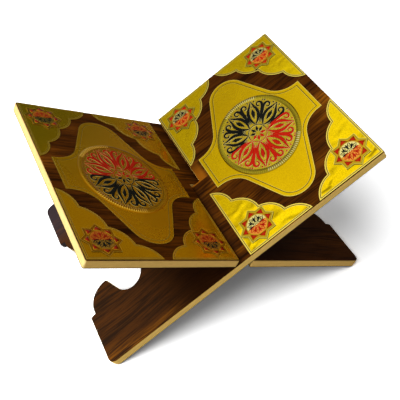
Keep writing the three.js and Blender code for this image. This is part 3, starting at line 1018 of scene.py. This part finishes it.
# Greys of the floor as it lights the stand, in reflections, and shown near and far away
FLOOR_LIGHTING, FLOOR_REFLECTED, FLOOR_NEAR, FLOOR_FAR = (grey(a) for a in (0.5, 0.75, 1.74, 3.6))
AMBIENT, WHITE = grey(0.31), grey(1.0)


def plain_grid(name, half_size):
    mesh = bmesh.new()
    bmesh.ops.create_grid(mesh, x_segments=1, y_segments=1, size=half_size)
    return object_of(name, mesh)


def plain_material(name):
    material = bpy.data.materials.new(name)
    material.use_nodes = True
    n = Nodes(material.node_tree)
    return material, n, n.tree.nodes["Principled BSDF"]


def pale_floor():
    """Pale floor that is white to the camera where no shadow falls, and keeps the shadow."""
    floor = plain_grid("studio_floor", FLOOR_HALF)
    material, n, principled = plain_material("pale studio floor")
    path = n.add("ShaderNodeLightPath").outputs
    lit = n.blend(path["Is Glossy Ray"], FLOOR_LIGHTING, FLOOR_REFLECTED)
    away = n.vector("LENGTH", n.add("ShaderNodeTexCoord").outputs["Object"])
    shown = n.blend(n.band(away, *WHITER_FLOOR), FLOOR_NEAR, FLOOR_FAR)
    n.put(principled.inputs["Base Color"], n.blend(path["Is Camera Ray"], lit, shown))
    n.feed(principled, Roughness=0.9, Specular_IOR_Level=0.0)
    floor.data.materials.append(material)


def studio_world():
    """White to the camera and in reflections, a softer grey as ambient light."""
    world = bpy.data.worlds.new("studio")
    bpy.context.scene.world = world
    world.use_nodes = True
    n = Nodes(world.node_tree)
    path = n.add("ShaderNodeLightPath").outputs
    seen = n.maths("MAXIMUM", path["Is Camera Ray"], n.maths(
        "MAXIMUM", path["Is Glossy Ray"], path["Is Transmission Ray"]))
    n.put(n.tree.nodes["Background"].inputs["Color"], n.blend(seen, AMBIENT, WHITE))


def soft_lamp(name, place, aim, size, power):
    lamp = linked(name, bpy.data.lights.new(name, "AREA"))
    lamp.data.shape = "DISK"
    lamp.data.size = size
    lamp.data.energy = power
    lamp.location = place
    lamp.rotation_mode = "QUATERNION"
    lamp.rotation_quaternion = (Vector(place) - Vector(aim)).to_track_quat("Z", "Y")
    lamp.visible_glossy = False


def toned_card(name, centre, width, height, tones):
    """A card that only reflections see; each tone takes over from start to full on its way."""
    card = plain_grid(name, 0.5)
    facing = Vector((-centre[0], -centre[1], 0)).to_track_quat("Z", "Y").to_matrix().to_4x4()
    card.data.transform(Matrix.Translation(centre) @ facing @ Matrix.Diagonal(
        (width, height, 1, 1)))
    material, n, principled = plain_material(name + " paper")
    here = n.add("ShaderNodeTexCoord").outputs["Object"]
    tone = (0, 0, 0, 1)
    for way, start, full, colour in tones:
        reach = n.vector("DOT_PRODUCT", here, way)
        tone = n.blend(n.band(reach, start, full), tone, (*colour, 1))
    n.put(principled.inputs["Emission Color"], tone)
    n.feed(principled, Emission_Strength=1.0, Base_Color=(0, 0, 0, 1), Roughness=1.0,
           Specular_IOR_Level=0.0)
    card.data.materials.append(material)
    for ray in ("camera", "diffuse", "shadow", "transmission", "volume_scatter"):
        setattr(card, f"visible_{ray}", False)


def photo_camera():
    """The photograph's view, fitted to the panels' corners: from the front left, 45 degrees up."""
    azimuth, elevation, roll = (math.radians(a) for a in (-25.959, 45.128, -0.374))
    back = Vector((math.sin(azimuth) * math.cos(elevation),
                   -math.cos(azimuth) * math.cos(elevation), math.sin(elevation)))
    level = Vector((0, 0, 1)).cross(back).normalized()
    up = back.cross(level)
    right = level * math.cos(roll) + up * math.sin(roll)
    upright = up * math.cos(roll) - level * math.sin(roll)
    camera = linked("camera", bpy.data.cameras.new("camera"))
    camera.matrix_world = Matrix((right, upright, back)).transposed().to_4x4()
    camera.location = (-0.17609, -0.41579, 0.52405)
    camera.data.lens = 58.762
    camera.data.sensor_width = 36.0
    camera.data.shift_x = -0.0474
    camera.data.shift_y = -0.0239
    camera.data.clip_start = 0.01
    bpy.context.scene.camera = camera


pale_floor()
studio_world()
soft_lamp("key_left", place=(-0.8, -0.04, 1.4), aim=(0, 0, 0.08), size=1.7, power=31.5)
soft_lamp("low_left", place=(-1.5, 0.0, 0.22), aim=(0, 0, 0.1), size=0.5, power=7.0)
# Ways along which the tone of a card changes
UPWARDS = (0.0, 0.0, 1.0)
UP_AND_LEFT = (-0.35, 0.0, 0.94)
LEFT_AND_UP = (-0.8, 0.0, 0.6)
BACKWARDS = (-0.66, 0.75, 0.0)
toned_card("back_card", centre=(-0.5, 0.9, 1.1), width=2.4, height=2.2, tones=[
    (UPWARDS, -2.0, -1.0, (0.41, 0.39, 0.34)), (UP_AND_LEFT, 0.96, 1.38, (1.0, 1.02, 0.95)),
    (LEFT_AND_UP, 1.12, 1.35, (1.25, 1.25, 1.15))])
toned_card("right_card", centre=(1.0, 0.88, 0.6), width=3.0, height=2.4, tones=[
    (UPWARDS, -2.0, -1.0, (0.2, 0.09, 0.04)), (UPWARDS, 0.15, 0.5, (0.28, 0.18, 0.06)),
    (BACKWARDS, 0.2, 0.4, (0.09, 0.095, 0.025))])
photo_camera()
bpy.context.scene.view_settings.view_transform = "Standard"
